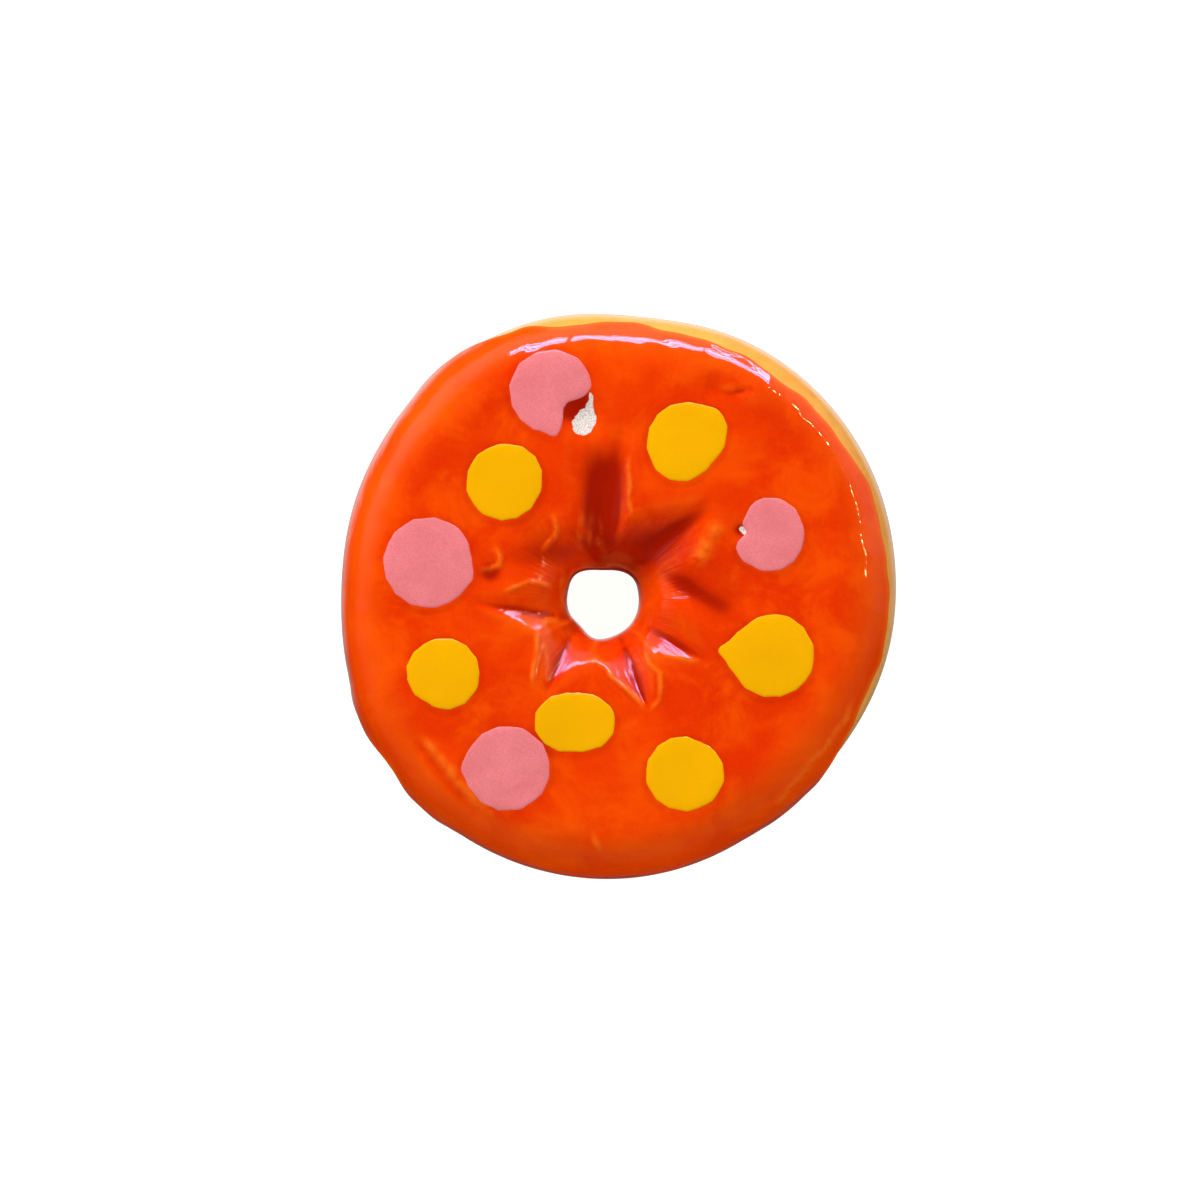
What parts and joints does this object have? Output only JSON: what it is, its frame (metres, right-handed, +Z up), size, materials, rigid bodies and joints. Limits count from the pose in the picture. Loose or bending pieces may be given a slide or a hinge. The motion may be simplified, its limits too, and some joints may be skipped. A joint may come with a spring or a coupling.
{
  "type": "ceramic doughnut",
  "caption": "Decorative doughnut in glossy glazed ceramic: orange glaze coat with raised pink and yellow dots over a dough-coloured body, folded in round a small hole.",
  "frame": {"origin": "middle of the bounding box on the flat base the piece lies on", "axes": "+Z up out of the glazed face, +Y towards the side where the coat stops short of the dough, +X to the right of the picture"},
  "size_m": [0.1001, 0.1019, 0.0318],
  "materials": {
    "glazed_ceramic": "glossy orange glaze, with pink and yellow glaze dots, over a dough-coloured glaze"
  },
  "bodies": {
    "root": {"doughnut": "glazed_ceramic"}
  },
  "joints": []
}
